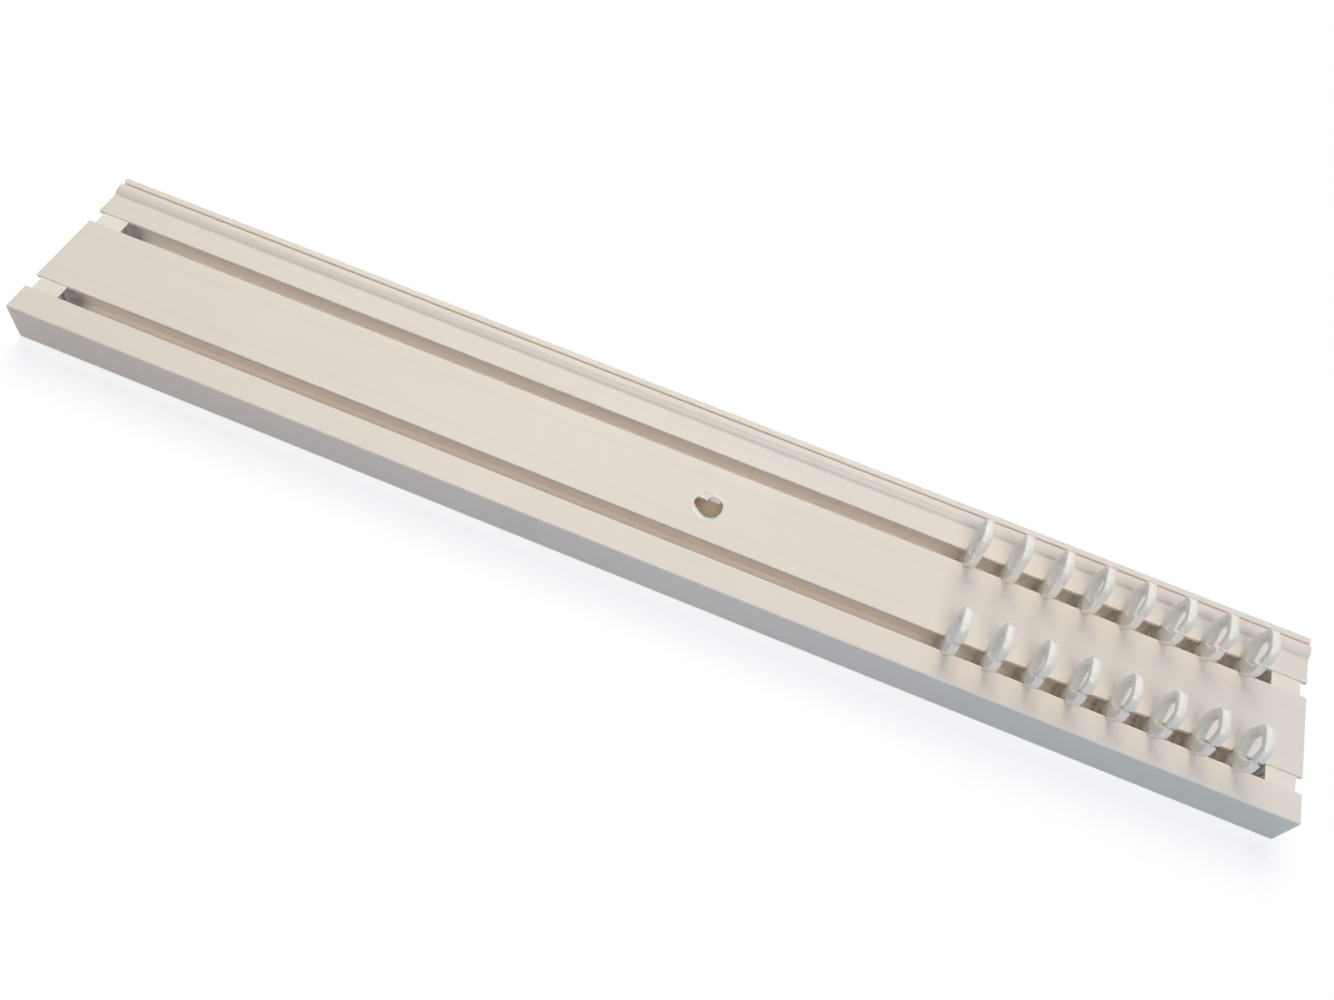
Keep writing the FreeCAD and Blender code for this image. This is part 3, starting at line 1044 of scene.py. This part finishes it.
# %% Painted light inside the channels
# Paler colours that stand in for light shining through the thin walls: painted light.
INNER_PAINTED_LIGHT = from_screen(251, 238, 228)
REAR_PAINTED_LIGHT = from_screen(254, 243, 236)
CHAMBER_PAINTED_LIGHT = from_screen(255, 234, 215)
INNER_EDGE = 0.15 * MM


def between(tree, value, low, high):
    """1 where a value lies between two others, and 0 elsewhere."""
    above = maths(tree, "GREATER_THAN", value, low)
    return maths(tree, "MULTIPLY", above, maths(tree, "LESS_THAN", value, high))


def painted_light_walls(tree, y, z):
    """The walls inside the rail, where painted light is written."""
    across = between(tree, y, rail_low.y + SIDE_WALL / 2, rail_high.y - SIDE_WALL / 2)
    upright = between(tree, z, BACK_WALL / 2, lip_underside + INNER_EDGE)
    return maths(tree, "MULTIPLY", across, upright)


# %% Rough sawn ends
SAWN = from_screen(236, 230, 220)
SAWN_DEPTH = 0.03 * MM
SAW_LINES = (0.0, 160.0, 2400.0)
SAW_TURN = (0.35, 0.0, 0.0)
SAW_LINE_SHARE = 2.5
SAWN_ROUGHNESS = 0.62


def sawn_ends(tree, x):
    """The two faces that the saw left."""
    uncut = between(tree, x, rail_low.x + SAWN_DEPTH, rail_high.x - SAWN_DEPTH)
    return maths(tree, "SUBTRACT", 1.0, uncut)


# %% Helpers for finishes
def new_material(name):
    """A material with a principled shader, and its tree."""
    material = bpy.data.materials.new(name)
    material.use_nodes = True
    tree = material.node_tree
    tree.nodes.clear()
    shader = add_node(tree, "ShaderNodeBsdfPrincipled")
    end = add_node(tree, "ShaderNodeOutputMaterial")
    feed(tree, end.inputs["Surface"], shader.outputs["BSDF"])
    return material, tree, shader


def use_group(tree, group, **values):
    """A node group placed in a material with its own values, and its outputs."""
    node = add_node(tree, "ShaderNodeGroup", node_tree=group)
    for label, value in values.items():
        feed(tree, node.inputs[label.replace("_", " ")], value)
    return node.outputs


def bump(tree, height, distance):
    """A normal from a height."""
    node = add_node(tree, "ShaderNodeBump")
    feed(tree, node.inputs["Height"], height)
    node.inputs["Distance"].default_value = distance
    return node.outputs["Normal"]


# %% The rail's plastic
RAIL_CLOUD_SCALE = 22.0
RAIL_STROKE_SCALE = 90.0
RAIL_SMOOTH = 0.40
RAIL_RUBBED = 0.52
RAIL_DEPTH = 0.8 * MM
RAIL_DEPTH_TINT = (1.0, 0.86, 0.70)
RAIL_IOR = 1.5
DRAWN_LINES = (3.0, 1400.0, 1400.0)
DRAWN_LINE_HEIGHT = 0.02 * MM


def rail_plastic():
    """Cream plastic with drawn lines, painted shade along sink lines, painted warm, cool and inner
    light, a strained ring and sawn ends.
    """
    material, tree, shader = new_material("cream_extrusion")
    skin = use_group(
        tree, handled, Clear=RAIL_CLEAR, Cloudy=RAIL_CLOUDY, Cloud_Scale=RAIL_CLOUD_SCALE,
        Stroke_Scale=RAIL_STROKE_SCALE, Smooth=RAIL_SMOOTH, Rubbed=RAIL_RUBBED)
    place = add_node(tree, "ShaderNodeSeparateXYZ")
    feed(tree, place.inputs["Vector"], add_node(tree, "ShaderNodeTexCoord").outputs["Object"])
    x, y, z = place.outputs
    sawn = sawn_ends(tree, x)

    # Painted warm light, stronger towards the left end of the face.
    warm = ramp(tree, x, rail_high.x, rail_low.x, 0.0, RAIL_PAINTED_WARM_SHARE)
    colour = mix_colours(tree, warm, skin["Colour"], RAIL_PAINTED_WARM_LIGHT)
    # Painted shade: the colour is darkened along each sink line.
    shade = maths(tree, "SUBTRACT", 1.0, maths(tree, "MULTIPLY", painted_sink_shade(tree, y), SINK_SHADE))
    sink_shaded_colour = add_node(tree, "ShaderNodeVectorMath", operation="SCALE")
    feed(tree, sink_shaded_colour.inputs[0], colour)
    feed(tree, sink_shaded_colour.inputs["Scale"], shade)
    colour = mix_colours(tree, strained_ring(tree, x, y, z), sink_shaded_colour.outputs["Vector"], STRAINED)
    # Painted warm and cool light on the front side.
    on_side = ramp(tree, y, rail_low.y + EDGE_ROUND, rail_low.y)
    colour = mix_colours(tree, on_side, colour, side_painted_light(tree, x))
    # Painted light: the walls inside the channels are written paler.
    inner = mix_colours(tree, between(tree, y, *middle_chamber), INNER_PAINTED_LIGHT, CHAMBER_PAINTED_LIGHT)
    inner = mix_colours(tree, between(tree, y, *rear_channel), inner, REAR_PAINTED_LIGHT)
    colour = mix_colours(tree, painted_light_walls(tree, y, z), colour, inner)
    colour = mix_colours(tree, sawn, colour, SAWN)
    feed(tree, shader.inputs["Base Color"], colour)

    rough_ends = maths(tree, "MULTIPLY", sawn, SAWN_ROUGHNESS)
    feed(tree, shader.inputs["Roughness"], maths(tree, "MAXIMUM", skin["Roughness"], rough_ends))
    saw_lines = maths(tree, "MULTIPLY", noise(tree, stretch(tree, SAW_LINES, SAW_TURN)), sawn)
    drawn_lines = noise(tree, stretch(tree, DRAWN_LINES))
    lines = maths(tree, "ADD", drawn_lines, maths(tree, "MULTIPLY", saw_lines, SAW_LINE_SHARE))
    feed(tree, shader.inputs["Normal"], bump(tree, lines, DRAWN_LINE_HEIGHT))
    shader.inputs["IOR"].default_value = RAIL_IOR
    shader.inputs["Subsurface Weight"].default_value = 1.0
    shader.inputs["Subsurface Scale"].default_value = RAIL_DEPTH
    shader.inputs["Subsurface Radius"].default_value = RAIL_DEPTH_TINT
    return material


rail_finish = rail_plastic()
print("Rail finish:", rail_finish.name, "nodes:", len(rail_finish.node_tree.nodes))

# %% [markdown]
# The hooks are a softer, whiter and clearer plastic than the rail. Light passes right through their
# thin loops. The mould gives them a slight gloss with a very fine grain. The stops are a duller
# plastic, nearer to the rail's cream. The rim and the shreds of the drilled hole are torn rail
# plastic, whiter and rougher than the rest. One function makes all three, with its own values for
# each.

# %% The other plastics
HOOK_CLEAR = from_screen(238, 232, 221)
HOOK_CLOUDY = from_screen(233, 227, 214)
HOOK_DEPTH = 3.0 * MM
HOOK_DEPTH_TINT = (1.0, 0.95, 0.90)
HOOK_SMOOTH = 0.30
HOOK_RUBBED = 0.42
STOP_CLEAR = from_screen(231, 225, 216)
STOP_CLOUDY = from_screen(227, 220, 209)
STOP_DEPTH = 0.8 * MM
STOP_SMOOTH = 0.38
STOP_RUBBED = 0.50
TORN_CLOUDY = from_screen(246, 236, 221)
TORN_SMOOTH = 0.50
TORN_RUBBED = 0.62
MOULDED_CLOUD_SCALE = 70.0
MOULDED_STROKE_SCALE = 240.0
MOULDED_IOR = 1.49
GRAIN_SCALE = 4000.0
GRAIN_HEIGHT = 0.01 * MM


def moulded_plastic(name, clear, cloudy, depth, depth_tint, smooth_level, rubbed_level):
    """A handled plastic with a fine grain."""
    material, tree, shader = new_material(name)
    skin = use_group(
        tree, handled, Clear=clear, Cloudy=cloudy, Cloud_Scale=MOULDED_CLOUD_SCALE,
        Stroke_Scale=MOULDED_STROKE_SCALE, Smooth=smooth_level, Rubbed=rubbed_level)
    grain = noise(tree, stretch(tree, EVEN), GRAIN_SCALE)
    feed(tree, shader.inputs["Base Color"], skin["Colour"])
    feed(tree, shader.inputs["Roughness"], skin["Roughness"])
    feed(tree, shader.inputs["Normal"], bump(tree, grain, GRAIN_HEIGHT))
    shader.inputs["IOR"].default_value = MOULDED_IOR
    shader.inputs["Subsurface Weight"].default_value = 1.0
    shader.inputs["Subsurface Scale"].default_value = depth
    shader.inputs["Subsurface Radius"].default_value = depth_tint
    return material


hook_finish = moulded_plastic(
    "hook_moulding", HOOK_CLEAR, HOOK_CLOUDY, HOOK_DEPTH, HOOK_DEPTH_TINT, HOOK_SMOOTH, HOOK_RUBBED)
stop_finish = moulded_plastic(
    "stop_moulding", STOP_CLEAR, STOP_CLOUDY, STOP_DEPTH, RAIL_DEPTH_TINT, STOP_SMOOTH, STOP_RUBBED)
torn_finish = moulded_plastic(
    "torn_extrusion", STRAINED, TORN_CLOUDY, RAIL_DEPTH, RAIL_DEPTH_TINT, TORN_SMOOTH, TORN_RUBBED)
print("Other finishes:", hook_finish.name, stop_finish.name, torn_finish.name)

# %% [markdown]
# Last, each piece gets its finish, rides on the body that carries it and stands for its packed
# node. The rim and the shreds are part of the rail, so they ride with it.

# %% Finish the pieces
RAIL_SHARP = math.radians(35)
torn_pieces = (rim, torn_tip, torn_crumb)

smooth(rail, RAIL_SHARP)
for piece in torn_pieces:
    begin_editing(piece)
    bpy.ops.mesh.select_all(action="SELECT")
    bpy.ops.mesh.faces_shade_smooth()
    end_editing()


def finish_piece(piece, body, finish):
    """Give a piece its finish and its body."""
    piece.data.materials.clear()
    piece.data.materials.append(finish)
    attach(piece, body)


finish_piece(rail, "rail", rail_finish)
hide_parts("rail")
for piece in torn_pieces:
    finish_piece(piece, "rail", torn_finish)
for node, piece in hooks.items():
    finish_piece(piece, node, hook_finish)
    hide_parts(node)
for node, piece in stops.items():
    finish_piece(piece, "rail", stop_finish)
    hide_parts(node)
